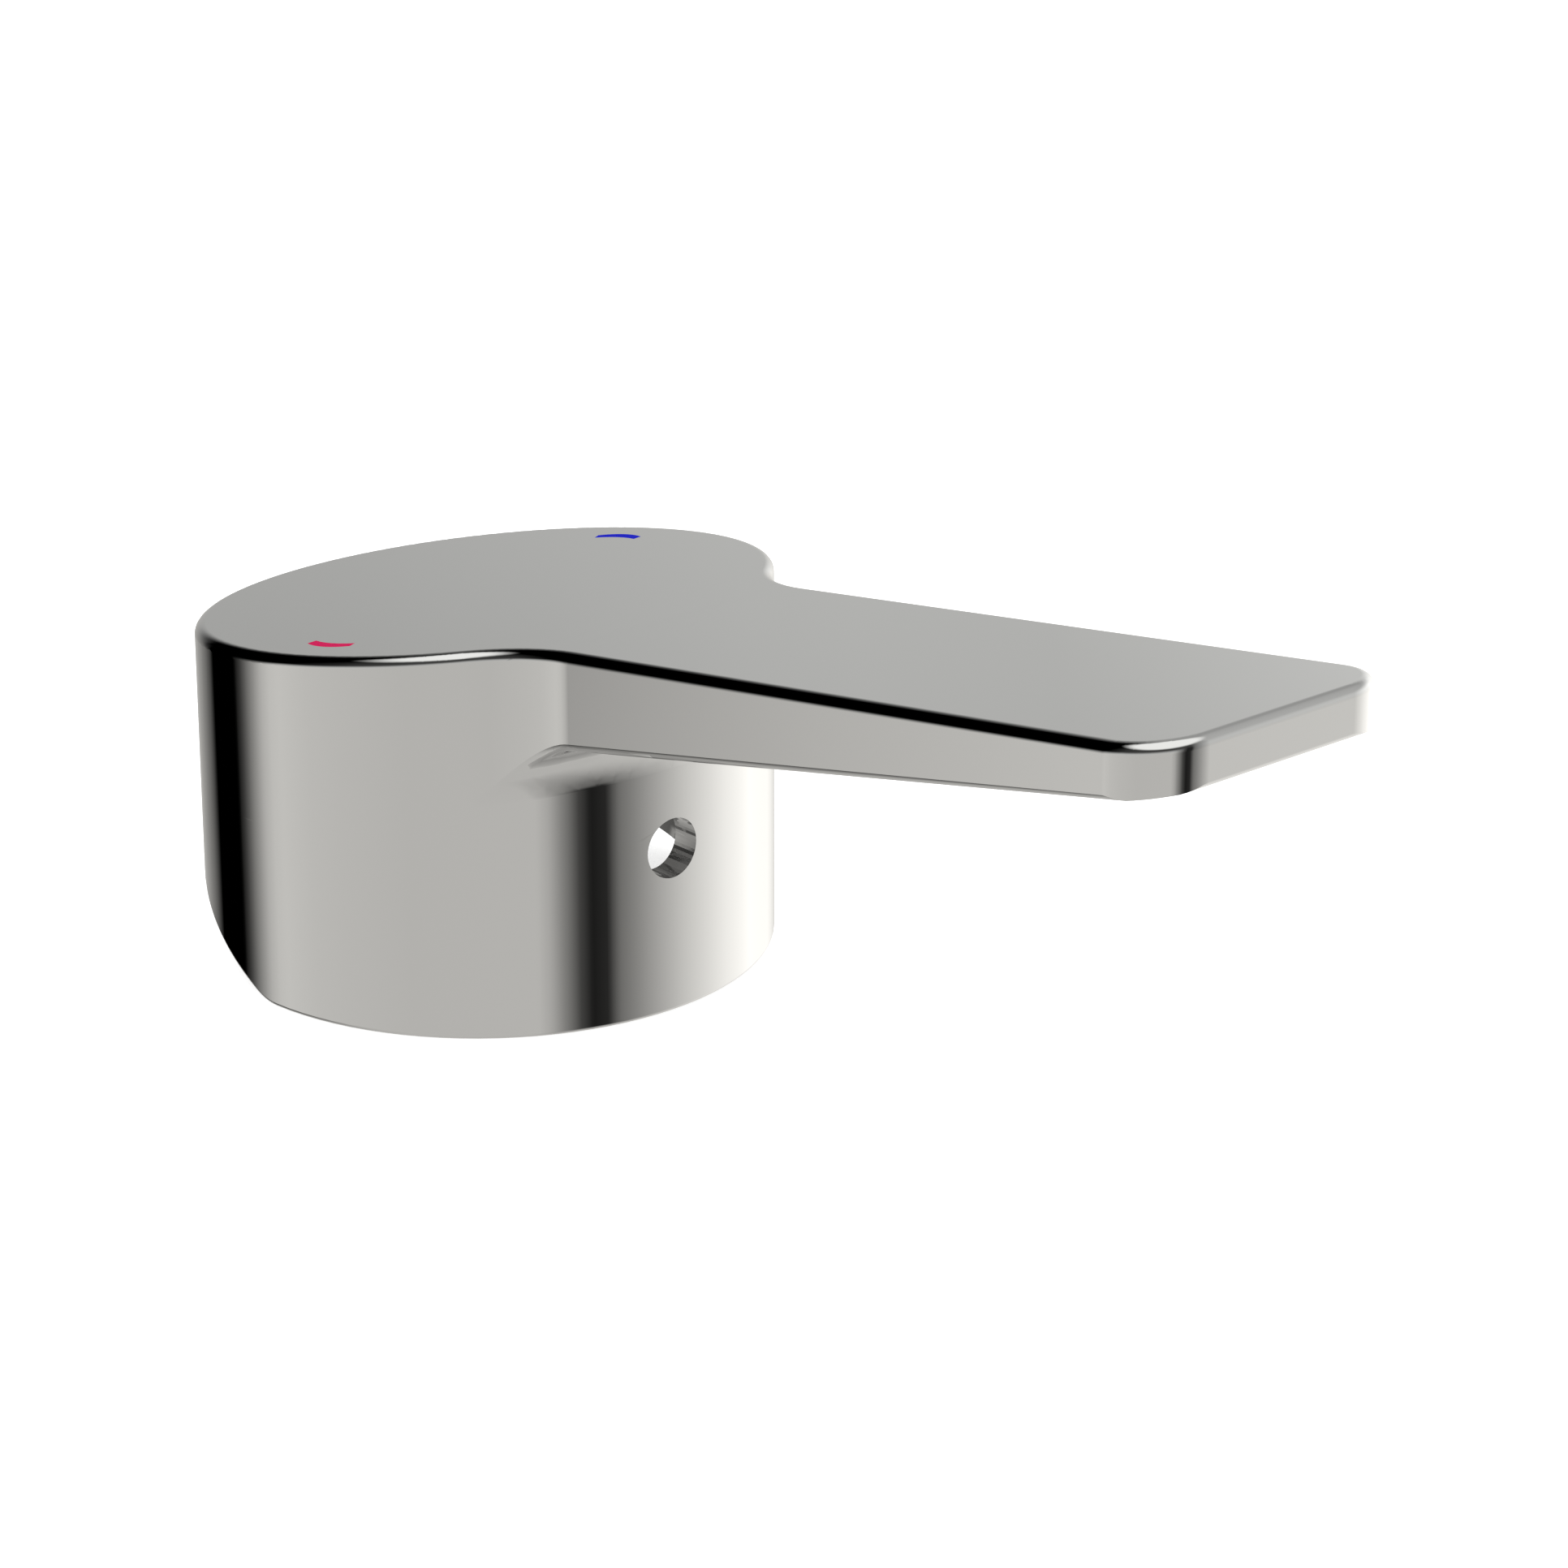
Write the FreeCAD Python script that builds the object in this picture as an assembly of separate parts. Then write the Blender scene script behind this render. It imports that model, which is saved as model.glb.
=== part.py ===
import FreeCAD, Part
import math
import os

# Replacement handle of a single-lever mixer tap: one zinc casting, chrome plated,
# with a grub screw in its hub and two enamel marks in its top face.
# Millimetres and degrees. +Z is the axis of the round body, with Z = 0 at its rim,
# and the lever points along +X. The two sides of the casting mirror in Y = 0.
# The casting is drawn with a level crown, so that its roundings stay simple tori, and
# is then leaned: every point rises by the crown's slope times its X.

# Round body
body_radius = 23.0
crown_height = 29.0
crown_slope = 8.7
skirt_wall = 2.45
rim_wall = 1.0
rim_taper_height = 8.0
crown_thickness = 3.0
top_edge_radius = 0.9
rim_edge_radius = 0.3
inner_corner = 1.5

# Relief cut under the rear of the skirt, which lets the handle tip back
rear_cut_angle = 23.3
rear_cut_start = 0.55
rear_cut_blend = 6.0

# Lever
lever_width = 24.0
lever_reach = 86.2
underside_slope = 12.4
tip_thickness = 3.8
tip_corner_radius = 5.0
tip_edge_radius = 0.5
side_edge_radius_root = 0.9
side_edge_radius_tip = 0.5
root_blend_radius = 11.5
root_cove_radius = 4.5

# Hub with the square socket for the cartridge stem
socket_width = 8.2
socket_depth = 13.0
socket_corner_radius = 0.6
socket_lead_in = 0.5
hub_wall = 3.2
hub_corner_radius = 2.5
hub_mouth_height = 6.0

# Grub screw, its boss on the hub and the key's way in through the skirt
screw_diameter = 4.0
screw_length = 7.0
screw_recess = 0.9
screw_clearance = 0.05
screw_chamfer = 0.4
screw_boss_wall = 1.8
screw_key_width = 2.0
screw_key_depth = 2.2
screw_cup_diameter = 2.0
screw_cup_depth = 0.6
access_hole_diameter = 4.9
access_hole_height = 13.65

# Hot and cold marks
mark_inset = 3.9
mark_length = 4.25
mark_width = 1.15
mark_end_width = 0.9
mark_bow = 0.1
mark_heel_slant = 0.1
mark_toe_slant = 0.25
mark_depth = 0.3
hot_mark_azimuth = -77.0
cold_mark_azimuth = 106.0

# Room that cutting tools reach past what they cut, how far a rounding stands proud of the
# faces beside it, how finely it follows a root curve, and how closely edges have to meet
overshoot = 5.0
edge_overlap = 0.02
root_stations = 10
edge_tolerance = 1e-4
merge_tolerance = 1e-3

half_width = lever_width / 2
mark_distance = body_radius - mark_inset
cavity_radius = body_radius - skirt_wall
hub_half = socket_width / 2 + hub_wall
screw_point = socket_width / 2
boss_front = screw_point + screw_length + screw_recess
boss_half = screw_diameter / 2 + screw_boss_wall
crown_rise = math.tan(math.radians(crown_slope))
underside_rise = math.tan(math.radians(underside_slope))
tip_top_height = crown_height + lever_reach * crown_rise
underside_height = tip_top_height - tip_thickness - lever_reach * underside_rise
ceiling_height = crown_height - crown_thickness / math.cos(math.radians(crown_slope))
taper_level = underside_rise - crown_rise
skirt_height = underside_height - root_cove_radius
far = lever_reach + body_radius + overshoot
deep = body_radius * crown_rise + overshoot
tall = tip_top_height + overshoot
up = FreeCAD.Vector(0, 0, 1)
forward = FreeCAD.Vector(1, 0, 0)


def point(x, y, z=0.0):
    return FreeCAD.Vector(x, y, z)


def line(a, b):
    return Part.LineSegment(a, b).toShape()


def arc(a, middle, b):
    return Part.Arc(a, middle, b).toShape()


def face_of(edges):
    return Part.Face(Part.Wire(edges))


def polygon_face(points):
    return Part.Face(Part.makePolygon(points + points[:1]))


def is_straight(edge):
    return isinstance(edge.Curve, (Part.Line, Part.LineSegment))


def samples_of(edge):
    """Points spread along an edge, its two ends included."""
    return edge.discretize(5)


def on_plane(edge, height, rise=0.0):
    """True where an edge lies in the plane z = height + rise * x."""
    return all(abs(p.z - height - rise * p.x) < edge_tolerance for p in samples_of(edge))


def block_above(height, rise):
    """Everything above the plane z = height + rise * x."""
    corners = [
        point(-far, -far, height - far * rise),
        point(far, -far, height + far * rise),
        point(far, -far, 2 * far),
        point(-far, -far, 2 * far),
    ]
    return polygon_face(corners).extrude(point(0, 2 * far))


def leaned(shape):
    """The level drawing with its crown rising towards the tip."""
    lean = FreeCAD.Matrix(1, 0, 0, 0, 0, 1, 0, 0, crown_rise, 0, 1, 0)
    shape = shape.transformGeometry(lean)
    shape.fix(edge_tolerance, edge_tolerance, edge_tolerance)
    return shape


def plan_outline():
    """The casting seen from above: a round body that runs into a straight lever."""
    reach = body_radius + root_blend_radius
    side = half_width + root_blend_radius
    blend_x = math.sqrt(reach ** 2 - side ** 2)
    on_body = point(blend_x, side).multiply(body_radius / reach)
    on_lever = point(blend_x, half_width)
    blend_centre = point(blend_x, side)
    towards = (on_body + on_lever).multiply(0.5) - blend_centre
    blend_middle = blend_centre + towards.normalize().multiply(root_blend_radius)
    corner_x = lever_reach - tip_corner_radius
    corner_y = half_width - tip_corner_radius
    diagonal = tip_corner_radius * math.sqrt(0.5)
    corner_start = point(corner_x, half_width)
    corner_middle = point(corner_x + diagonal, corner_y + diagonal)
    corner_end = point(lever_reach, corner_y)

    def mirrored(p):
        return point(p.x, -p.y)

    outline = face_of([
        arc(mirrored(on_body), point(-body_radius, 0), on_body),
        arc(on_body, blend_middle, on_lever),
        line(on_lever, corner_start),
        arc(corner_start, corner_middle, corner_end),
        line(corner_end, mirrored(corner_end)),
        arc(mirrored(corner_end), mirrored(corner_middle), mirrored(corner_start)),
        line(mirrored(corner_start), mirrored(on_lever)),
        arc(mirrored(on_lever), mirrored(blend_middle), mirrored(on_body)),
    ])
    return outline, blend_x


def coved_blank():
    """The skirt's cylinder under a wide slab, with the cove where the two meet."""
    height = crown_height + deep
    skirt = Part.makeCylinder(body_radius, height, point(0, 0, -deep))
    slab = block_above(underside_height, taper_level)
    slab = slab.common(Part.makeBox(2 * far, 2 * far, height, point(-far, -far, -deep)))
    blank = skirt.fuse(slab).removeSplitter()
    root = [
        edge for edge in blank.Edges
        if not is_straight(edge) and on_plane(edge, underside_height, taper_level)
    ]
    return blank.makeFillet(root_cove_radius, root)


def ball_section(corner, inward, ball_in, ball_up, floor_turn, radius):
    """What a rounding ball leaves of an edge, in the upright plane across it.

    The ball touches the wall at half a turn and the face below at floor_turn."""

    def at(turn, size):
        along = ball_in + size * math.cos(turn)
        high = ball_up + size * math.sin(turn)
        return corner + inward * along + up * high

    wall_turn = -math.pi
    half_turn = (wall_turn + floor_turn) / 2
    wide = 1.9 * radius
    wider = 2.5 * radius
    return Part.Wire([
        arc(at(wall_turn, radius), at(half_turn, radius), at(floor_turn, radius)),
        line(at(floor_turn, radius), at(floor_turn, wide)),
        line(at(floor_turn, wide), at(half_turn, wider)),
        line(at(half_turn, wider), at(wall_turn, wide)),
        line(at(wall_turn, wide), at(wall_turn, radius)),
    ])


def square_section(corner, inward, radius):
    """The section where the face below is square to the wall."""
    seat = radius - edge_overlap * math.sqrt(0.5)
    return ball_section(corner, inward, seat, seat, -math.pi / 2, radius)


def underside_at(x):
    """Height of the lever's underside in the level drawing."""
    return underside_height + x * taper_level


def cove_at(x, y):
    """Height of the underside or of the cove that joins it to the skirt, or None in the skirt."""
    reach = body_radius + root_cove_radius
    turn = math.atan2(y, x)
    if reach - math.hypot(x, y) < root_cove_radius * taper_level * math.cos(turn):
        return underside_at(x)
    heights = []
    for step in range(-30, 31):
        ball_turn = turn + 0.002 * step
        ball_x = reach * math.cos(ball_turn)
        ball_y = reach * math.sin(ball_turn)
        room = root_cove_radius ** 2 - (x - ball_x) ** 2 - (y - ball_y) ** 2
        if room > 0:
            ball_z = underside_at(ball_x) - root_cove_radius * math.hypot(1, taper_level)
            heights.append(ball_z + math.sqrt(room))
    return max(heights, default=None)


def root_section(corner, inward, radius):
    """The section on a root curve, where the cove below falls away inwards."""
    steps = 90
    below = []
    for step in range(steps + 1):
        run = radius * step / steps
        height = cove_at(corner.x + run * inward.x, corner.y + run * inward.y)
        if height is not None:
            below.append((run - radius, height - corner.z))
    low, high = 0.0, 2 * radius
    for _ in range(40):
        middle = (low + high) / 2
        touching = min(math.hypot(run, height - middle) for run, height in below) < radius
        low, high = (middle, high) if touching else (low, middle)
    run, height = min(below, key=lambda place: math.hypot(place[0], place[1] - low))
    floor_turn = math.atan2(height - low, run)
    if floor_turn > 0:
        floor_turn -= 2 * math.pi
    out = edge_overlap / math.hypot(radius, low)
    return ball_section(corner, inward, radius - out * radius, low - out * low, floor_turn, radius)


def lever_edge_slivers(x_root):
    """The roundings under the lever's root curves, its two sides and its end."""

    def corner(x, y):
        return point(x, y, underside_at(x))

    def side_radius(x):
        share = (x - x_root) / (lever_reach - x_root)
        return side_edge_radius_root + share * (side_edge_radius_tip - side_edge_radius_root)

    slivers = []
    for side in (-1, 1):
        centre = point(x_root, side * (half_width + root_blend_radius))
        first = math.atan2(-centre.y, -centre.x)
        last = -side * math.pi / 2
        sections = []
        for station in range(1, root_stations + 1):
            turn = first + (last - first) * station / root_stations
            inward = point(math.cos(turn), math.sin(turn))
            place = centre + inward * root_blend_radius
            place.z = cove_at(place.x, place.y)
            sections.append(root_section(place, inward, side_edge_radius_root))
        slivers.append(Part.makeLoft(sections, True))
        slivers.append(Part.makeLoft([
            square_section(corner(x, side * half_width), point(0, -side), side_radius(x))
            for x in (x_root, lever_reach + overshoot)
        ], True, True))
    slivers.append(Part.makeLoft([
        square_section(corner(lever_reach, y), point(-1, 0), tip_edge_radius)
        for y in (-half_width - overshoot, half_width + overshoot)
    ], True, True))
    return slivers


def level_head():
    """The lever and the top of the round body, drawn level and still solid."""
    outline, x_root = plan_outline()
    prism = outline.extrude(up * (crown_height + deep))
    prism.translate(up * -deep)
    head = coved_blank().common(prism)
    head = head.cut(tuple(lever_edge_slivers(x_root)), merge_tolerance)
    top_edges = [edge for edge in head.Edges if on_plane(edge, crown_height)]
    return head.makeFillet(top_edge_radius, top_edges).Solids[0]


def outer_form():
    """The casting from outside, still solid: the leaned head on a plain round skirt."""
    head = leaned(level_head()).common(block_above(skirt_height, 0))
    skirt = Part.makeCylinder(body_radius, skirt_height + overshoot, point(0, 0, -overshoot))
    return head.fuse(skirt)


def cavity():
    """The hollow under the crown: the skirt's bore, closed by a shallow cone square to the crown."""
    depth = ceiling_height + far
    bore = Part.makeCylinder(cavity_radius, 2 * far, point(0, 0, -far))
    into = point(crown_rise, 0, -1)
    top_radius = cavity_radius - inner_corner
    cone = Part.makeCone(top_radius, top_radius + depth, depth, up * ceiling_height, into)
    return bore.common(cone)


def rounded_square(half, radius, low, high):
    """An upright square prism about the axis with rounded corners."""
    prism = Part.makeBox(2 * half, 2 * half, high - low, point(-half, -half, low))
    corners = [edge for edge in prism.Edges if abs(edge.tangentAt(edge.FirstParameter).z) > 0.5]
    return prism.makeFillet(radius, corners)


def hub():
    """The square boss for the stem, with a nose for the grub screw, rooted in the crown."""
    square = rounded_square(hub_half, hub_corner_radius, hub_mouth_height, tall)
    nose = Part.makeBox(boss_front, 2 * boss_half, tall, point(0, -boss_half, hub_mouth_height))
    boss = square.fuse(nose).removeSplitter()
    return boss.cut(block_above((ceiling_height + crown_height) / 2, crown_rise))


def under_rim():
    """What lies under the flat rim and the rear relief, with the soft bend between them."""
    half_turn = math.radians(rear_cut_angle) / 2
    tangent = rear_cut_blend * math.tan(half_turn)
    cut_rise = math.tan(2 * half_turn)
    start = point(rear_cut_start + tangent, -far)
    middle = point(start.x - rear_cut_blend * math.sin(half_turn), -far,
                   rear_cut_blend * (1 - math.cos(half_turn)))
    end = point(rear_cut_start - tangent * math.cos(2 * half_turn), -far,
                tangent * math.sin(2 * half_turn))
    rear = point(-far, -far, (far + rear_cut_start) * cut_rise)
    rear_low = point(-far, -far, -far)
    front_low = point(far, -far, -far)
    front = point(far, -far)
    outline = [
        arc(start, middle, end), line(end, rear), line(rear, rear_low),
        line(rear_low, front_low), line(front_low, front), line(front, start),
    ]
    return face_of(outline).extrude(point(0, 2 * far))


def rim_taper():
    """The ring that thins the skirt's wall towards its rim, so it slips over the tap's dome."""
    slope = (skirt_wall - rim_wall) / rim_taper_height
    low = body_radius - rim_wall + overshoot * slope
    high = cavity_radius - overshoot * slope
    height = rim_taper_height + 2 * overshoot
    cone = Part.makeCone(low, high, height, point(0, 0, -overshoot))
    core = Part.makeCylinder(cavity_radius - skirt_wall, height, point(0, 0, -overshoot))
    return cone.cut(core)


def along_x(radius, start, end):
    """A round bar on the grub screw's axis."""
    return Part.makeCylinder(radius, end - start, point(start, 0, access_hole_height), forward)


def socket():
    """The stem's square socket with a small lead-in at its mouth."""
    half = socket_width / 2
    bore = rounded_square(half, socket_corner_radius, hub_mouth_height - overshoot,
                          hub_mouth_height + socket_depth)

    def square(size, height):
        corners = ((-1, -1), (1, -1), (1, 1), (-1, 1), (-1, -1))
        return Part.makePolygon([point(x * size, y * size, height) for x, y in corners])

    lead_in = Part.makeLoft([
        square(half + socket_lead_in, hub_mouth_height),
        square(half, hub_mouth_height + socket_lead_in),
    ], True, True)
    return bore.fuse(lead_in)


def mark_outline(azimuth):
    """The bowed bar of one mark, laid round the crown with its heel clockwise."""
    half = mark_length / 2
    heel = point(-half, mark_bow)
    toe = point(half, mark_bow)
    heel_inside = point(mark_heel_slant - half, mark_bow + mark_end_width)
    toe_inside = point(half - mark_toe_slant, mark_bow + mark_end_width)
    outline = face_of([
        arc(heel, point(0, -mark_width / 2), toe),
        line(toe, toe_inside),
        arc(toe_inside, point(0, mark_width / 2), heel_inside),
        line(heel_inside, heel),
    ])
    outline.rotate(point(0, 0), up, 90)
    outline.translate(point(mark_distance, 0))
    outline.rotate(point(0, 0), up, azimuth)
    return outline


def mark_recess(azimuth):
    """The recess of a mark, from its floor up past the crown."""
    floor = crown_height - mark_depth / math.cos(math.radians(crown_slope))
    return mark_outline(azimuth).extrude(up * tall).common(block_above(floor, crown_rise))


def mark(azimuth):
    """The enamel of a mark, which fills its recess flush with the crown."""
    return mark_recess(azimuth).cut(block_above(crown_height, crown_rise))


def on_skirt(edge):
    """True where an edge runs round the outside of the skirt."""
    return all(abs(math.hypot(p.x, p.y) - body_radius) < edge_tolerance for p in samples_of(edge))


def trimmed_casting():
    """The hollow casting with its hub, cut off at the rim and at the rear, with that edge rounded."""
    casting = outer_form().cut(cavity()).fuse(hub()).cut(under_rim())
    below = skirt_height - rim_edge_radius
    rim = [
        edge for edge in casting.Edges
        if on_skirt(edge) and not is_straight(edge) and edge.BoundBox.ZMax < below
    ]
    return casting.makeFillet(rim_edge_radius, rim)


def lever_body():
    """The finished casting."""
    casting = trimmed_casting()
    tools = [
        rim_taper(), socket(),
        along_x(screw_diameter / 2 + screw_clearance, 0, boss_front + overshoot),
        along_x(access_hole_diameter / 2, cavity_radius - overshoot, body_radius + overshoot),
        mark_recess(hot_mark_azimuth), mark_recess(cold_mark_azimuth),
    ]
    for tool in tools:
        casting = casting.cut(tool)
    return casting


def set_screw():
    """Grub screw with a hexagon socket at the front and a cup point at the stem."""
    end = screw_point + screw_length
    body = along_x(screw_diameter / 2, screw_point, end)
    rims = [edge for edge in body.Edges if not is_straight(edge)]
    body = body.makeChamfer(screw_chamfer, rims)
    key_radius = screw_key_width / math.sqrt(3)
    corners = [
        point(end - screw_key_depth, key_radius * math.cos(math.radians(60 * k)),
              access_hole_height + key_radius * math.sin(math.radians(60 * k)))
        for k in range(6)
    ]
    key = polygon_face(corners).extrude(forward * (screw_key_depth + overshoot))
    cup = Part.makeCone(screw_cup_diameter / 2, 0, screw_cup_depth,
                        point(screw_point, 0, access_hole_height), forward)
    return body.cut(key).cut(cup)


nodes = {
    "lever_body": lever_body(),
    "set_screw": set_screw(),
    "hot_mark": mark(hot_mark_azimuth),
    "cold_mark": mark(cold_mark_azimuth),
}

os.makedirs("parts", exist_ok=True)
for name, shape in nodes.items():
    solid = shape.Solids[0]
    solid.exportStep("parts/" + name + ".step")
    print(name, len(shape.Solids), "solid,", round(solid.Volume, 1), "mm3, valid", solid.isValid())
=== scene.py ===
# %% [markdown]
# A tap handle for a single-lever mixer, dressed for a studio picture.
# The CAD model gives every shape and size. Here it gets the surfaces that a
# foundry, a polisher and a plater leave on the real casting, a cut thread on its
# grub screw, enamel in its two marks, and the light of a product photograph.

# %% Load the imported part
import math

import bmesh
import bpy
from mathutils import Matrix, Vector


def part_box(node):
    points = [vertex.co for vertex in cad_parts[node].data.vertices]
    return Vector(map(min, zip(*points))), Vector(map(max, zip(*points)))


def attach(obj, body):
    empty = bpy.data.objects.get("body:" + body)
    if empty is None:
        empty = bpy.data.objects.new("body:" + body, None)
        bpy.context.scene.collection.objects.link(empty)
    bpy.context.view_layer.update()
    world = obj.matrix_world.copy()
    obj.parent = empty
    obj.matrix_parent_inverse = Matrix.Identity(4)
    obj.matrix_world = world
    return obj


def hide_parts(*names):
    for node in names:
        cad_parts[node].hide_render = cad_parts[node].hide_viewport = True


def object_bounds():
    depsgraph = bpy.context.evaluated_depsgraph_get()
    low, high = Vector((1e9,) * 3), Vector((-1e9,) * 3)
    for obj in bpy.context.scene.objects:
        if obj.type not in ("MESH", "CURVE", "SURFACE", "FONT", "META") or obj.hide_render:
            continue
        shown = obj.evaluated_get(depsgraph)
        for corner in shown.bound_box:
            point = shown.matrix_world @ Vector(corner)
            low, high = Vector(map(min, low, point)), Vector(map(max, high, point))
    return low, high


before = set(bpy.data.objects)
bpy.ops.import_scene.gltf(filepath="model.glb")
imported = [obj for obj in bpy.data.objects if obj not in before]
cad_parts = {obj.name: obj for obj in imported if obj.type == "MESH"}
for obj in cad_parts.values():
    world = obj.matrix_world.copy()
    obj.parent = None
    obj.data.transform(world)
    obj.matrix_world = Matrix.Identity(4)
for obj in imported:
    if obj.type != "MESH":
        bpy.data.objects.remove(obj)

MM = 0.001
cad_box = [list(corner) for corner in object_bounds()]
size_mm = [(high - low) / MM for low, high in zip(*cad_box)]
print("nodes:", sorted(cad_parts))
print("CAD box: %.1f x %.1f x %.1f mm" % tuple(size_mm))

# %% [markdown]
# The camera looks down on the handle from its front right corner, as in the
# photograph. A long lens from about 40 cm keeps the lever from looking too large.
# Directions are given as an azimuth, turned from +X towards +Y, and an elevation.

# %% Camera
VIEW_AZIMUTH = -41.43
VIEW_ELEVATION = 20.75
VIEW_DISTANCE = 407.2 * MM
AIM = Vector((16.09, 17.52, 12.58)) * MM
FOCAL_LENGTH = 116.21
SENSOR_WIDTH = 36.0
CLIP_START = 10 * MM


def towards(azimuth, elevation):
    """The unit vector in that direction, in degrees."""
    turn, lift = math.radians(azimuth), math.radians(elevation)
    level = math.cos(lift)
    return Vector((level * math.cos(turn), level * math.sin(turn), math.sin(lift)))


def add_object(name, data):
    """A new object in the scene, at the origin."""
    thing = bpy.data.objects.new(name, data)
    bpy.context.scene.collection.objects.link(thing)
    return thing


camera = add_object("camera", bpy.data.cameras.new("camera"))
camera.data.lens = FOCAL_LENGTH
camera.data.sensor_width = SENSOR_WIDTH
camera.data.clip_start = CLIP_START
camera.location = AIM + VIEW_DISTANCE * towards(VIEW_AZIMUTH, VIEW_ELEVATION)
camera.rotation_mode = "QUATERNION"
camera.rotation_quaternion = (AIM - camera.location).to_track_quat("-Z", "Y")
bpy.context.scene.camera = camera
bpy.context.scene.view_settings.view_transform = "Standard"
print("camera at", [round(value / MM, 1) for value in camera.location], "mm")

# %% [markdown]
# A few small helpers serve every finish below. One turns a hex colour, as a
# paint chart gives it, into the linear values that Blender's shaders work in. One
# starts an empty material, one adds a node with its settings and links, and one
# turns the size of a pattern into the scale that a noise node asks for.

# %% Helpers for the finishes
def linear(hex_colour, alpha=1.0):
    """An sRGB hex colour as linear red, green, blue and alpha."""
    channels = [int(hex_colour[place:place + 2], 16) / 255 for place in (1, 3, 5)]
    curve = [c / 12.92 if c <= 0.04045 else ((c + 0.055) / 1.055) ** 2.4 for c in channels]
    return (*curve, alpha)


def add_node(tree, kind, inputs=None, **settings):
    """Adds a node. An input is a socket to link from, or a plain value."""
    node = tree.nodes.new(kind)
    for name, value in settings.items():
        setattr(node, name, value)
    for name, value in (inputs or {}).items():
        if isinstance(value, bpy.types.NodeSocket):
            tree.links.new(value, node.inputs[name])
        else:
            node.inputs[name].default_value = value
    return node


def new_material(name):
    """An empty material and its node tree."""
    material = bpy.data.materials.new(name)
    material.use_nodes = True
    material.node_tree.nodes.clear()
    return material, material.node_tree


def per_mm(size):
    """The noise scale, in metres, whose patches are about that many millimetres across."""
    return 1 / (size * MM)


print("white is", [round(value, 3) for value in linear("#FFFFFF")])

# %% [markdown]
# The floor is a plain pale sheet. It takes light as matt paper does, so the
# handle keeps a soft shadow where it stands. A little extra brightness, for the rays
# that show a background and not for those that light the part, lets the open floor
# run into the white behind it. The chrome mirrors the ground of the light tent below
# and not this sheet.

# %% Floor
FLOOR_SIZE = 4.0
FLOOR_GAP = 0.05 * MM
FLOOR_LIFT = 0.7


def background_rays(tree):
    """A socket that is 1 for rays from the camera, from a mirror and through glass."""
    rays = add_node(tree, "ShaderNodeLightPath").outputs
    mirrored = add_node(tree, "ShaderNodeMath", {
        0: rays["Is Camera Ray"], 1: rays["Is Glossy Ray"]}, operation="ADD")
    seen = add_node(tree, "ShaderNodeMath", {
        0: mirrored.outputs[0], 1: rays["Is Transmission Ray"]},
        operation="ADD", use_clamp=True)
    return seen.outputs[0]


def mesh_from(shape, name):
    """The mesh of a finished bmesh, which is freed."""
    mesh = bpy.data.meshes.new(name)
    shape.to_mesh(mesh)
    shape.free()
    return mesh


floor_paper, tree = new_material("matt_white_paper_sweep")
lift = add_node(tree, "ShaderNodeMath", {
    0: background_rays(tree), 1: FLOOR_LIFT}, operation="MULTIPLY")
paper = add_node(tree, "ShaderNodeBsdfPrincipled", {
    "Base Color": linear("#F2F2F2"), "Roughness": 0.9, "Specular IOR Level": 0.1,
    "Emission Color": linear("#FFFFFF"), "Emission Strength": lift.outputs[0]})
add_node(tree, "ShaderNodeOutputMaterial", {"Surface": paper.outputs[0]})

shape = bmesh.new()
bmesh.ops.create_grid(shape, x_segments=1, y_segments=1, size=FLOOR_SIZE / 2)
bmesh.ops.translate(shape, verts=shape.verts, vec=(0, 0, -FLOOR_GAP))
floor = add_object("floor", mesh_from(shape, "floor"))
floor.data.materials.append(floor_paper)
floor.visible_glossy = False
print("floor:", FLOOR_SIZE, "m square")

# %% [markdown]
# Chrome has no colour of its own: it shows the room. A photographer stands a
# chrome part in a light tent with pale walls, and hangs black flags in it so that
# round forms get a dark edge. The tent here is a large globe that only mirror
# reflections see. Each line of its plan is a direction, how bright the wall is
# there, how high it goes, how bright the cloth above it is and how bright the ground
# at its foot is. Under the part the ground is pale. A lamp shines through the roof as
# a soft round patch, which draws the short white glints on the rounded edges.

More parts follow.
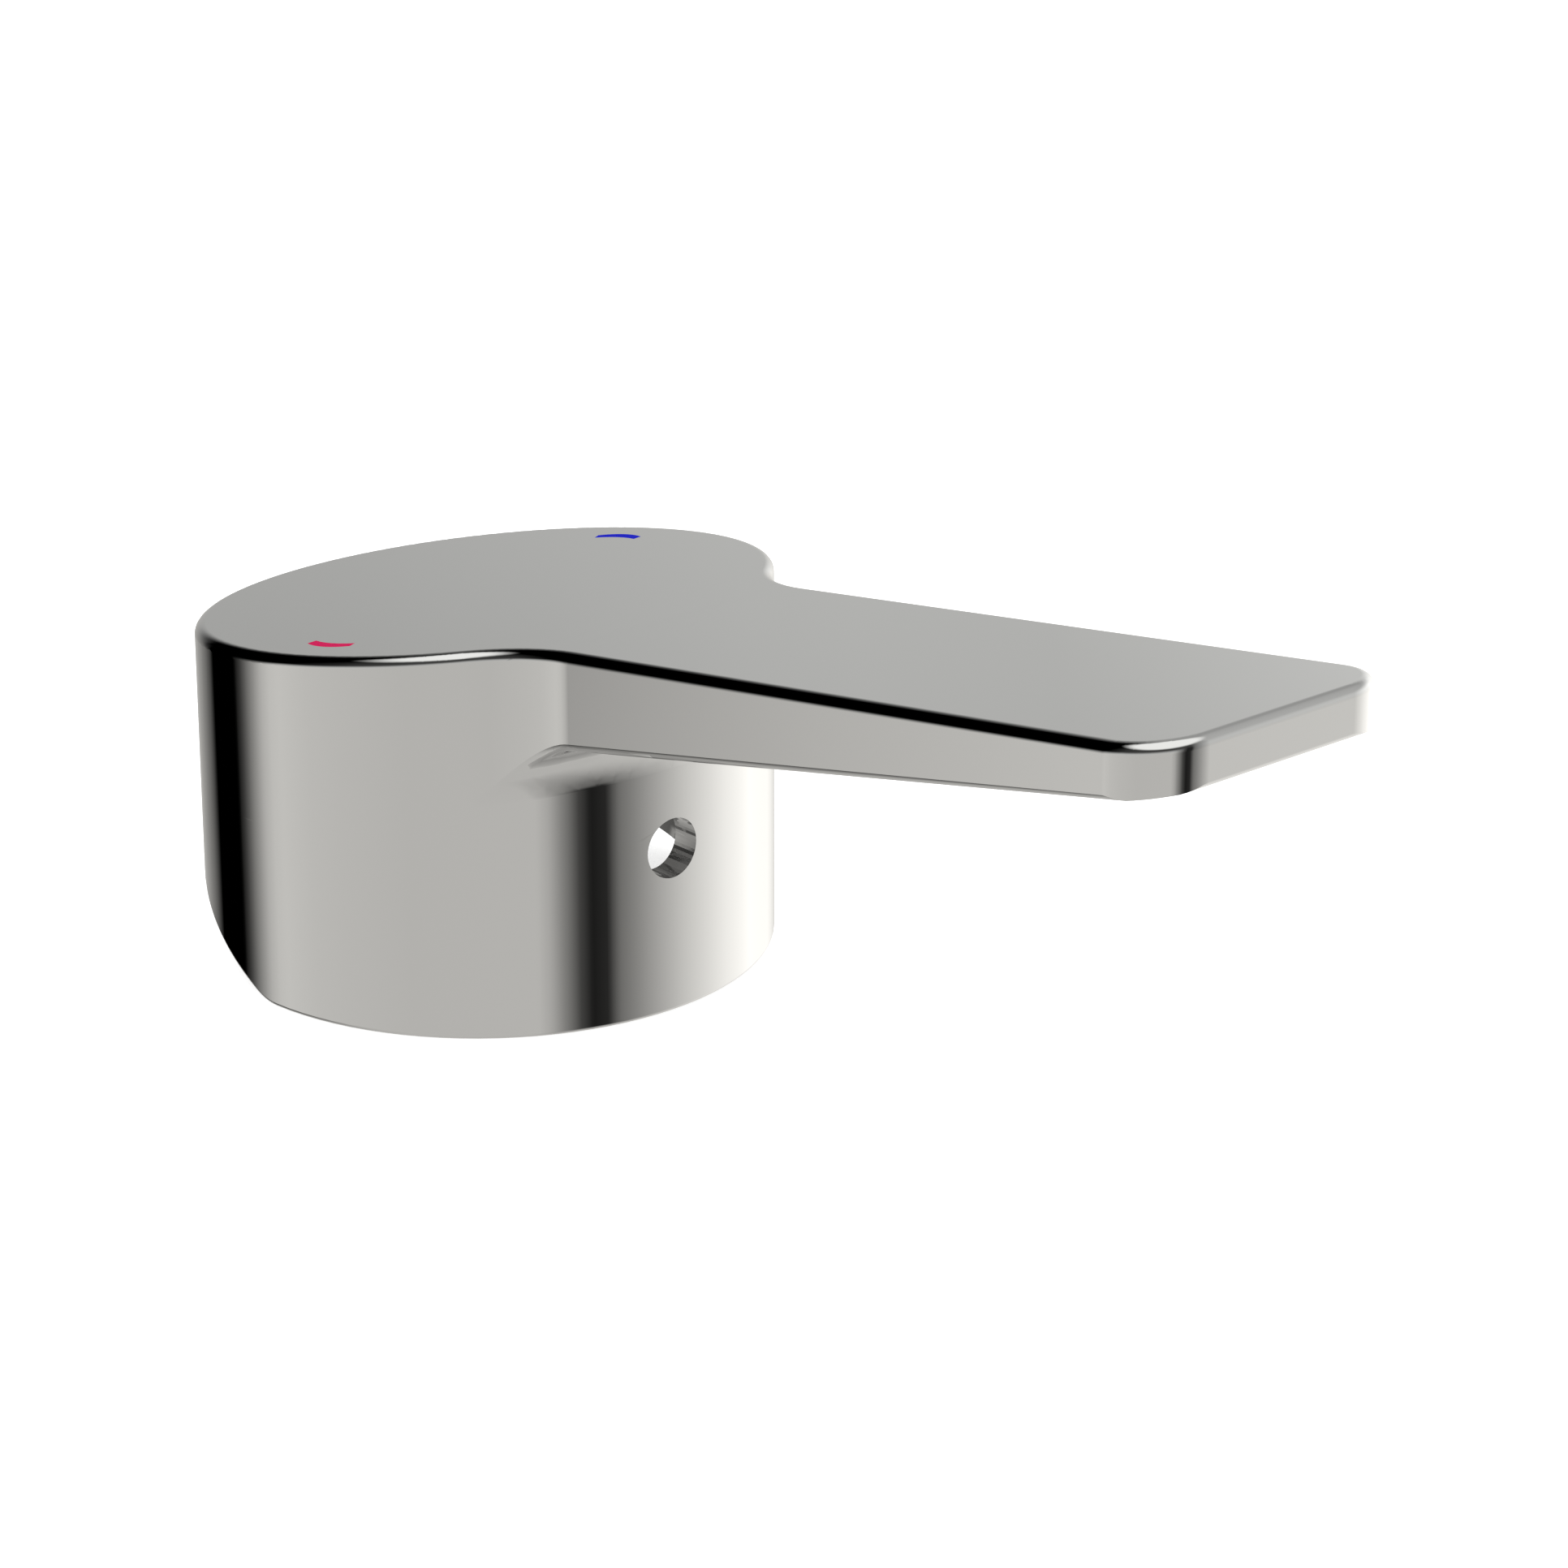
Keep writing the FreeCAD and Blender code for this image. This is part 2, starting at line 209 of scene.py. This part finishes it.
# %% Plan of the light tent
TENT_PEAK = 1.75
TOP_LOWEST, TOP_HIGHEST = -20.0, 40.0
TENT_PLAN = (
    # azimuth, wall, top of the wall, cloth above, ground at its foot
    (-180, 0.13, -6, 0.0, 0.30),
    (-175, 0.0, -6, 0.0, 0.30),      # the black flag behind the skirt
    (-155, 0.0, -8, 0.0, 0.20),
    (-151, 0.066, -9, 0.0, 0.12),    # its soft edge
    (-148, 0.17, -9, 0.0, 0.06),
    (-142, 0.47, -8, 0.0, 0.04),
    (-137, 0.75, -6, 0.0, 0.04),
    (-132, 0.90, -3, 0.0, 0.06),
    (-127, 0.94, 0, 0.0, 0.10),
    (-112, 0.87, 5, 0.02, 0.25),     # the pale wall on the near side
    (-98, 0.84, 9, 0.05, 0.70),
    (-70, 0.80, 10, 0.08, 0.80),
    (-20, 0.81, 9, 0.08, 0.80),
    (-15, 0.67, 9, 0.08, 0.64),
    (-10, 0.40, 10, 0.08, 0.45),
    (-3, 0.095, 14, 0.08, 0.26),
    (2, 0.018, 18, 0.08, 0.22),      # the narrow flag straight ahead of the lever
    (9, 0.035, 20, 0.1, 0.22),
    (14.5, 0.27, 20, 0.2, 0.32),
    (21, 0.40, 20, 0.35, 0.45),
    (45, 0.96, 20, 0.7, 0.95),
    (70, 1.48, 20, 0.66, 1.40),
    (90, 1.75, 20, 0.62, 1.50),      # the lit panel on the far side
    (112, 1.46, 20, 0.5, 1.30),
    (136, 0.63, 20, 0.5, 0.65),      # the wall that the crown shows
    (140, 0.636, 19, 0.45, 0.62),
    (143, 0.58, 18, 0.4, 0.58),
    (147, 0.528, 17, 0.3, 0.53),
    (156, 0.50, 12, 0.1, 0.50),
    (168, 0.36, 4, 0.0, 0.40),
    (176, 0.22, 0, 0.0, 0.30),
    (180, 0.13, -6, 0.0, 0.30),
)

tent_light, tree = new_material("light_tent_fabric")
place = add_node(tree, "ShaderNodeTexCoord")
outwards = add_node(tree, "ShaderNodeVectorMath", {
    0: place.outputs["Object"]}, operation="NORMALIZE")
axes = add_node(tree, "ShaderNodeSeparateXYZ", {0: outwards.outputs[0]})
turn = add_node(tree, "ShaderNodeMath", {
    0: axes.outputs["Y"], 1: axes.outputs["X"]}, operation="ARCTAN2")
lift = add_node(tree, "ShaderNodeMath", {0: axes.outputs["Z"]}, operation="ARCSINE")
share = add_node(tree, "ShaderNodeMapRange", {
    "Value": turn.outputs[0], "From Min": -math.pi, "From Max": math.pi})
plan = add_node(tree, "ShaderNodeValToRGB", {0: share.outputs[0]})
stops = plan.color_ramp.elements
for number, (azimuth, wall, top, above, foot) in enumerate(TENT_PLAN):
    position = (azimuth + 180) / 360
    stop = stops[number] if number < 2 else stops.new(position)
    stop.position = position
    height = (top - TOP_LOWEST) / (TOP_HIGHEST - TOP_LOWEST)
    stop.color = (wall / TENT_PEAK, height, above, foot / TENT_PEAK)
print("light tent with", len(stops), "stops in its plan")

# %% Cloth and ground of the light tent
EDGE_SOFTNESS = math.radians(13)
FOOT_FROM, FOOT_TO = math.radians(-24), math.radians(-29)
GROUND_UNDER = math.radians(-68)
GROUND_LEVEL = 0.78

drawn = add_node(tree, "ShaderNodeSeparateColor", {0: plan.outputs["Color"]})
wall = add_node(tree, "ShaderNodeMath", {
    0: drawn.outputs["Red"], 1: TENT_PEAK}, operation="MULTIPLY")
foot = add_node(tree, "ShaderNodeMath", {
    0: plan.outputs["Alpha"], 1: TENT_PEAK}, operation="MULTIPLY")
top = add_node(tree, "ShaderNodeMapRange", {
    "Value": drawn.outputs["Green"],
    "To Min": math.radians(TOP_LOWEST), "To Max": math.radians(TOP_HIGHEST)})
over = add_node(tree, "ShaderNodeMath", {
    0: lift.outputs[0], 1: top.outputs[0]}, operation="SUBTRACT")
cloth = add_node(tree, "ShaderNodeMapRange", {
    "Value": over.outputs[0], "From Min": -EDGE_SOFTNESS, "From Max": EDGE_SOFTNESS,
    "To Min": wall.outputs[0], "To Max": drawn.outputs["Blue"]},
    interpolation_type="SMOOTHSTEP")
ground = add_node(tree, "ShaderNodeMapRange", {
    "Value": lift.outputs[0], "From Min": FOOT_TO, "From Max": GROUND_UNDER,
    "To Min": foot.outputs[0], "To Max": GROUND_LEVEL})
lining = add_node(tree, "ShaderNodeMapRange", {
    "Value": lift.outputs[0], "From Min": FOOT_FROM, "From Max": FOOT_TO,
    "To Min": cloth.outputs[0], "To Max": ground.outputs[0]},
    interpolation_type="SMOOTHSTEP")
print("ground of the tent:", GROUND_LEVEL, "under the part")

# %% Lamp behind the roof, and the globe
TENT_RADIUS = 1.5
TENT_COLUMNS, TENT_ROWS = 96, 48
LAMP_TOWARDS = towards(-21, 75)
LAMP_INNER, LAMP_OUTER = math.cos(math.radians(30)), math.cos(math.radians(47))
LAMP_LEVEL = 1.45
WALL_TINT, CLOTH_TINT = "#FFFDF8", "#FFFFFC"
TINT_FROM, TINT_TO = math.radians(-10), math.radians(4)

near_lamp = add_node(tree, "ShaderNodeVectorMath", {
    0: outwards.outputs[0], 1: LAMP_TOWARDS}, operation="DOT_PRODUCT")
lamp = add_node(tree, "ShaderNodeMapRange", {
    "Value": near_lamp.outputs["Value"], "From Min": LAMP_OUTER, "From Max": LAMP_INNER,
    "To Min": lining.outputs[0], "To Max": LAMP_LEVEL}, interpolation_type="SMOOTHSTEP")
height = add_node(tree, "ShaderNodeMapRange", {
    "Value": lift.outputs[0], "From Min": TINT_FROM, "From Max": TINT_TO})
tint = add_node(tree, "ShaderNodeMix", {
    "Factor": height.outputs[0], "A": linear(WALL_TINT), "B": linear(CLOTH_TINT)},
    data_type="RGBA")
glow = add_node(tree, "ShaderNodeEmission", {
    "Color": tint.outputs["Result"], "Strength": lamp.outputs[0]})
add_node(tree, "ShaderNodeOutputMaterial", {"Surface": glow.outputs[0]})

shape = bmesh.new()
bmesh.ops.create_uvsphere(
    shape, u_segments=TENT_COLUMNS, v_segments=TENT_ROWS, radius=TENT_RADIUS)
tent = add_object("light_tent", mesh_from(shape, "light_tent"))
tent.data.materials.append(tent_light)
tent.visible_camera = tent.visible_diffuse = tent.visible_shadow = False
tent.visible_transmission = tent.visible_volume_scatter = False
print("light tent:", 2 * TENT_RADIUS, "m across")

# %% [markdown]
# Soft light comes from all round, so enamel and steel show the colour they are
# written with. One large round softbox hangs overhead, where the lamp's patch is on
# the tent, and gives the shadow its direction.

# %% World and softbox
WORLD_LEVEL = 0.6
WHITE_LEVEL = 1.0
SOFTBOX_DISTANCE = 1.0
SOFTBOX_DIAMETER = 1.15
SOFTBOX_WATTS = 5.3

world = bpy.data.worlds.new("studio_white")
bpy.context.scene.world = world
world.use_nodes = True
tree = world.node_tree
tree.nodes.clear()
level = add_node(tree, "ShaderNodeMapRange", {
    "Value": background_rays(tree), "To Min": WORLD_LEVEL, "To Max": WHITE_LEVEL})
white = add_node(tree, "ShaderNodeBackground", {
    "Color": linear("#FFFFFF"), "Strength": level.outputs[0]})
add_node(tree, "ShaderNodeOutputWorld", {"Surface": white.outputs[0]})

softbox = add_object("softbox", bpy.data.lights.new("softbox", "AREA"))
softbox.data.shape = "DISK"
softbox.data.size = SOFTBOX_DIAMETER
softbox.data.energy = SOFTBOX_WATTS
softbox.location = SOFTBOX_DISTANCE * LAMP_TOWARDS
softbox.rotation_mode = "QUATERNION"
softbox.rotation_quaternion = (-softbox.location).to_track_quat("-Z", "Y")
softbox.visible_glossy = False
print("softbox at", [round(value, 2) for value in softbox.location], "m")

# %% [markdown]
# The casting is one piece of zinc: round body, crown and lever. Polished metal
# shows every flaw in a surface, and the triangles of the CAD model would bend its
# reflections. So a copy is merged into one skin, and each corner gets the true
# direction of the surface there: outwards on the walls, up on the crown, and a
# quarter turn between them on the rounded edge.

# %% The casting as one skin
SAME_PLACE = 0.001 * MM


def skin_of(node, name):
    """A merged copy of a CAD node's mesh, with smooth faces."""
    shape = bmesh.new()
    shape.from_mesh(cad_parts[node].data)
    bmesh.ops.remove_doubles(shape, verts=shape.verts, dist=SAME_PLACE)
    for face in shape.faces:
        face.smooth = True
    return mesh_from(shape, name)


def seat(mesh, slot, *nodes):
    """Shows a finished mesh on the part, in place of those CAD nodes."""
    piece = add_object(mesh.name, mesh)
    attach(piece, "root")
    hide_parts(*nodes)
    return piece


casting = skin_of("lever_body", "casting")
print("casting:", len(casting.vertices), "vertices,", len(casting.polygons), "faces")

# %% Which way the outline faces, seen from above, in millimetres
BODY_RADIUS = 23.0
HALF_WIDTH = 12.0
ROOT_RADIUS = 11.5
LEVER_REACH = 86.2
CORNER_RADIUS = 5.0
ROOT_Y = HALF_WIDTH + ROOT_RADIUS
ROOT_X = math.sqrt((BODY_RADIUS + ROOT_RADIUS) ** 2 - ROOT_Y ** 2)
ROOT_TURN = math.atan2(ROOT_Y, ROOT_X)
CORNER_X = LEVER_REACH - CORNER_RADIUS
CORNER_Y = HALF_WIDTH - CORNER_RADIUS


def outline_direction(x, y):
    """Outwards from the handle's outline at a point on it."""
    side = math.copysign(1, y)
    if x > CORNER_X:
        corner = Vector((x - CORNER_X, y - side * CORNER_Y))
        return corner.normalized() if abs(y) > CORNER_Y else Vector((1, 0))
    if x > ROOT_X:
        return Vector((0, side))
    if abs(math.atan2(y, x)) < ROOT_TURN:
        return Vector((ROOT_X - x, side * ROOT_Y - y)).normalized()
    return Vector((x, y)).normalized()


print("root curves end %.1f mm from the axis" % ROOT_X)

# %% True directions for the polished faces
CROWN_HEIGHT = 29.0
CROWN_RISE = math.tan(math.radians(8.7))
UNDERSIDE_RISE = math.tan(math.radians(12.4))
UNDERSIDE = Vector((UNDERSIDE_RISE, 0, -1)).normalized()
EDGE_RADIUS = 0.9
ON_WALL = 0.02
UPRIGHT = math.sin(math.radians(3))
CLOSE = math.cos(math.radians(16))
FLAT = math.cos(math.radians(0.5))
SHARP = math.radians(28)


def true_direction(point, facing):
    """The exact direction of the polished surface at a corner of a face, or None."""
    x, y, z = point / MM
    if facing.dot(UNDERSIDE) > FLAT:
        return UNDERSIDE
    if abs(math.hypot(x, y) - BODY_RADIUS) < ON_WALL and abs(facing.z) < UPRIGHT:
        return Vector((x, y, 0)).normalized()
    above = z - CROWN_RISE * x - (CROWN_HEIGHT - EDGE_RADIUS)
    if above < -ON_WALL and abs(facing.z) > UPRIGHT:
        return None
    up = min(max(above / EDGE_RADIUS, 0), 1)
    out = outline_direction(x, y) * math.sqrt(1 - up * up)
    return Vector((out.x - CROWN_RISE * up, out.y, up)).normalized()


casting.set_sharp_from_angle(angle=SHARP)
directions = [corner.vector.copy() for corner in casting.corner_normals]
trued = 0
for face in casting.polygons:
    for corner in face.loop_indices:
        point = casting.vertices[casting.loops[corner].vertex_index].co
        exact = true_direction(point, face.normal)
        if exact is not None and exact.dot(face.normal) > CLOSE:
            directions[corner] = exact
            trued += 1
casting.normals_split_custom_set(directions)
print("trued", trued, "of", len(directions), "corners")

# %% [markdown]
# Polished chrome plate is a thin layer of chromium on nickel: a neutral mirror that
# returns a little over half of the light. Its gloss is not quite even. Buffing leaves
# faint strokes along the lever, and handling leaves soft patches, both far weaker than
# a scratch, so they only change the roughness.

# %% Polished chrome plate
PATCH_SIZE = 14
STROKE_WIDTH = 0.6
STROKE_STRETCH = (0.06, 1.0, 1.0)
PATCH_SHARE = 0.6

chrome, tree = new_material("polished_chrome_plate")
place = add_node(tree, "ShaderNodeTexCoord")
patches = add_node(tree, "ShaderNodeTexNoise", {
    "Vector": place.outputs["Object"], "Scale": per_mm(PATCH_SIZE),
    "Detail": 3.0, "Roughness": 0.55})
along = add_node(tree, "ShaderNodeMapping", {
    "Vector": place.outputs["Object"], "Scale": STROKE_STRETCH})
strokes = add_node(tree, "ShaderNodeTexNoise", {
    "Vector": along.outputs[0], "Scale": per_mm(STROKE_WIDTH),
    "Detail": 2.0, "Roughness": 0.6})
wear = add_node(tree, "ShaderNodeMath", {
    0: patches.outputs["Fac"], 1: PATCH_SHARE, 2: strokes.outputs["Fac"]},
    operation="MULTIPLY_ADD")
gloss = add_node(tree, "ShaderNodeMapRange", {
    "Value": wear.outputs[0], "From Min": 0.5, "From Max": 1.1,
    "To Min": 0.012, "To Max": 0.035})
plate = add_node(tree, "ShaderNodeBsdfPrincipled", {
    "Base Color": linear("#C5C5C5"), "Metallic": 1.0, "Roughness": gloss.outputs[0]})
add_node(tree, "ShaderNodeOutputMaterial", {"Surface": plate.outputs[0]})
casting.materials.append(chrome)
print("finish:", chrome.name)

# %% [markdown]
# The inside is never buffed. The plating covers the skin that the die left, so its
# gloss is softer and a fine grain shows in it. Its colour is a little greyer than the
# outside's, partly for that skin and partly as painted shade inside the hollow. Only the
# wall of the key hole, which a drill cut smooth, shines like the outside.

# %% Plated inside, as cast, with painted shade
GRAIN_SIZE = 0.5
CLOUD_SIZE = 9
GRAIN_DEPTH = 0.05 * MM

inside, tree = new_material("as_cast_zinc_with_painted_shade")
place = add_node(tree, "ShaderNodeTexCoord")
grain = add_node(tree, "ShaderNodeTexNoise", {
    "Vector": place.outputs["Object"], "Scale": per_mm(GRAIN_SIZE),
    "Detail": 4.0, "Roughness": 0.6})
clouds = add_node(tree, "ShaderNodeTexNoise", {
    "Vector": place.outputs["Object"], "Scale": per_mm(CLOUD_SIZE), "Detail": 2.0})
# painted shade: both greys sit below the outside chrome's, partly for the as-cast skin and
# partly as shade in the hollow
tone = add_node(tree, "ShaderNodeMix", {
    "Factor": clouds.outputs["Fac"], "A": linear("#B0B0B0"), "B": linear("#BEBEBE")},
    data_type="RGBA")
gloss = add_node(tree, "ShaderNodeMapRange", {
    "Value": grain.outputs["Fac"], "To Min": 0.08, "To Max": 0.15})
relief = add_node(tree, "ShaderNodeBump", {
    "Height": grain.outputs["Fac"], "Strength": 0.03, "Distance": GRAIN_DEPTH})
plate = add_node(tree, "ShaderNodeBsdfPrincipled", {
    "Base Color": tone.outputs["Result"], "Metallic": 1.0,
    "Roughness": gloss.outputs[0], "Normal": relief.outputs[0]})
add_node(tree, "ShaderNodeOutputMaterial", {"Surface": plate.outputs[0]})
casting.materials.append(inside)
print("finish:", inside.name)

# %% Where the casting stays unbuffed and takes the painted shade, in millimetres
INSIDE_RADIUS = 21.95
INSIDE_HEIGHT = CROWN_HEIGHT - 1
KEY_HOLE_RADIUS = 2.45
KEY_HOLE_HEIGHT = 13.65
KEY_HOLE_FROM = 19.0

unbuffed = 0
for face in casting.polygons:
    x, y, z = face.center / MM
    within = math.hypot(x, y) < INSIDE_RADIUS and z - CROWN_RISE * x < INSIDE_HEIGHT
    drilled = x > KEY_HOLE_FROM and math.hypot(y, z - KEY_HOLE_HEIGHT) < KEY_HOLE_RADIUS
    if within and not drilled:
        # these faces get the greyer inside colour: the as-cast skin, and painted shade for the
        # hollow
        face.material_index = 1
        unbuffed += 1
seat(casting, "chrome_plate", "lever_body")
print(unbuffed, "faces keep the as-cast skin")

# %% [markdown]
# The hot and cold marks are drops of enamel in two small pockets of the crown,
# wiped level and cured. The colour is slightly paler where the film is thinner. The
# film mirrors little, so the colour stays strong even where the crown is seen at a low
# angle.

# %% Enamel in the marks
FILM_PATCH = 0.7


def enamel(name, thin, full):
    """An enamel that is paler where its film is thin."""
    material, tree = new_material(name)
    place = add_node(tree, "ShaderNodeTexCoord")
    film = add_node(tree, "ShaderNodeTexNoise", {
        "Vector": place.outputs["Object"], "Scale": per_mm(FILM_PATCH), "Detail": 2.0})
    colour = add_node(tree, "ShaderNodeMix", {
        "Factor": film.outputs["Fac"], "A": linear(thin), "B": linear(full)},
        data_type="RGBA")
    gloss = add_node(tree, "ShaderNodeMapRange", {
        "Value": film.outputs["Fac"], "To Min": 0.5, "To Max": 0.65})
    paint = add_node(tree, "ShaderNodeBsdfPrincipled", {
        "Base Color": colour.outputs["Result"], "Roughness": gloss.outputs[0], "IOR": 1.5,
        "Specular IOR Level": 0.03})
    add_node(tree, "ShaderNodeOutputMaterial", {"Surface": paint.outputs[0]})
    return material


for node, name, thin, full in (
    ("hot_mark", "red_fired_enamel", "#D6145A", "#CA0852"),
    ("cold_mark", "blue_fired_enamel", "#0212C6", "#0008BC"),
):
    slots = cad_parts[node].data.materials
    slots.clear()
    slots.append(enamel(name, thin, full))
    print(node, "gets", name)

# %% [markdown]
# The grub screw holds the handle on the stem. It is an M4 screw turned from
# stainless steel, with a hexagon socket in one end and a cup in the other. Its
# thread is one small profile, spun round the axis and lifted a little at each step.

# %% Thread of the grub screw
screw_low, screw_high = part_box("set_screw")
SCREW_LENGTH = screw_high.x - screw_low.x
SCREW_CENTRE_Z = (screw_low.z + screw_high.z) / 2
PITCH = 0.7 * MM
CREST = (screw_high.z - screw_low.z) / 2
ROOT = CREST - 0.43 * MM
STEPS = 36
TURNS = math.ceil(SCREW_LENGTH / PITCH) + 2
THREAD_MERGE = 0.002 * MM
# Each point is a radius and its share of the pitch.
THREAD = ((ROOT, 0.0), (ROOT, 0.25), (CREST, 0.5625), (CREST, 0.6875), (ROOT, 1.0))

shape = bmesh.new()
profile = [shape.verts.new((radius, 0, PITCH * share)) for radius, share in THREAD]
edges = [shape.edges.new(pair) for pair in zip(profile, profile[1:])]
bmesh.ops.spin(
    shape, geom=profile + edges, cent=(0, 0, 0), axis=(0, 0, 1), dvec=(0, 0, PITCH / STEPS),
    angle=math.tau * TURNS, steps=STEPS * TURNS)
bmesh.ops.remove_doubles(shape, verts=shape.verts, dist=THREAD_MERGE)
print("thread:", TURNS, "turns,", len(shape.faces), "faces")

# %% Ends of the screw, cut square and chamfered
CHAMFER = 0.4 * MM


def cut_loop(shape, height, keep_above):
    """Cuts the thread square at a height and gives the edges of the cut."""
    everything = shape.verts[:] + shape.edges[:] + shape.faces[:]
    cut = bmesh.ops.bisect_plane(
        shape, geom=everything, dist=SAME_PLACE, plane_co=(0, 0, height), plane_no=(0, 0, 1),
        clear_inner=keep_above, clear_outer=not keep_above)
    return [item for item in cut["geom_cut"] if isinstance(item, bmesh.types.BMEdge)]


foot = PITCH
head = foot + SCREW_LENGTH
bottom = cut_loop(shape, foot, True)
top = cut_loop(shape, head, False)
for vert in shape.verts:
    end = min(vert.co.z - foot, head - vert.co.z)
    limit = CREST - max(CHAMFER - end, 0)
    radius = math.hypot(vert.co.x, vert.co.y)
    if radius > limit:
        vert.co.x *= limit / radius
        vert.co.y *= limit / radius
print("ends:", len(bottom), "and", len(top), "edges")

# %% Cup and hexagon socket
CUP_RADIUS = 1.0 * MM
CUP_DEPTH = 0.6 * MM
KEY_WIDTH = 2.0 * MM
KEY_DEPTH = 2.2 * MM


def ring(shape, sides, radius, height):
    """The edges of a new ring of that many sides round the axis."""
    lift = Matrix.Translation((0, 0, height))
    verts = bmesh.ops.create_circle(shape, segments=sides, radius=radius, matrix=lift)["verts"]
    return list({edge for vert in verts for edge in vert.link_edges})


cup = ring(shape, STEPS, CUP_RADIUS, foot)
bmesh.ops.bridge_loops(shape, edges=bottom + cup)
hollow = bmesh.ops.contextual_create(shape, geom=cup)["faces"]
bmesh.ops.poke(shape, faces=hollow, offset=CUP_DEPTH)

key = ring(shape, 6, KEY_WIDTH / math.sqrt(3), head)
bmesh.ops.bridge_loops(shape, edges=top + key)
walls = bmesh.ops.extrude_edge_only(shape, edges=key)["geom"]
lower = [item for item in walls if isinstance(item, bmesh.types.BMVert)]
bmesh.ops.translate(shape, verts=lower, vec=(0, 0, -KEY_DEPTH))
key_floor = [
    item for item in walls
    if isinstance(item, bmesh.types.BMEdge) and all(vert in lower for vert in item.verts)]
bmesh.ops.contextual_create(shape, geom=key_floor)
bmesh.ops.recalc_face_normals(shape, faces=shape.faces)
print("hexagon socket:", round(KEY_WIDTH / MM, 1), "mm across flats")

# %% The screw in its place
quarter_turn = Matrix.Rotation(math.pi / 2, 3, "Y")
bmesh.ops.translate(shape, verts=shape.verts, vec=(0, 0, -foot))
bmesh.ops.rotate(shape, verts=shape.verts, cent=(0, 0, 0), matrix=quarter_turn)
bmesh.ops.translate(shape, verts=shape.verts, vec=(screw_low.x, 0, SCREW_CENTRE_Z))
open_edges = sum(1 for edge in shape.edges if len(edge.link_faces) != 2)
screw = mesh_from(shape, "grub_screw")
print("grub screw:", len(screw.polygons), "faces,", open_edges, "open edges")

# %% [markdown]
# Stainless steel straight from the lathe is a warm grey metal. The tool leaves
# fine rings round the axis, which spread its reflections a little.

# %% Turned stainless steel
RING_WIDTH = 0.12
RING_STRETCH = (1.0, 0.08, 0.08)

steel, tree = new_material("turned_stainless_steel")
place = add_node(tree, "ShaderNodeTexCoord")
rings = add_node(tree, "ShaderNodeMapping", {
    "Vector": place.outputs["Object"], "Scale": RING_STRETCH})
marks = add_node(tree, "ShaderNodeTexNoise", {
    "Vector": rings.outputs[0], "Scale": per_mm(RING_WIDTH), "Detail": 2.0})
tone = add_node(tree, "ShaderNodeMix", {
    "Factor": marks.outputs["Fac"], "A": linear("#A5A39E"), "B": linear("#BDBBB6")},
    data_type="RGBA")
gloss = add_node(tree, "ShaderNodeMapRange", {
    "Value": marks.outputs["Fac"], "To Min": 0.22, "To Max": 0.38})
metal = add_node(tree, "ShaderNodeBsdfPrincipled", {
    "Base Color": tone.outputs["Result"], "Metallic": 1.0, "Roughness": gloss.outputs[0]})
add_node(tree, "ShaderNodeOutputMaterial", {"Surface": metal.outputs[0]})
screw.materials.append(steel)
seat(screw, "stainless_steel", "set_screw")
print("finish:", steel.name)
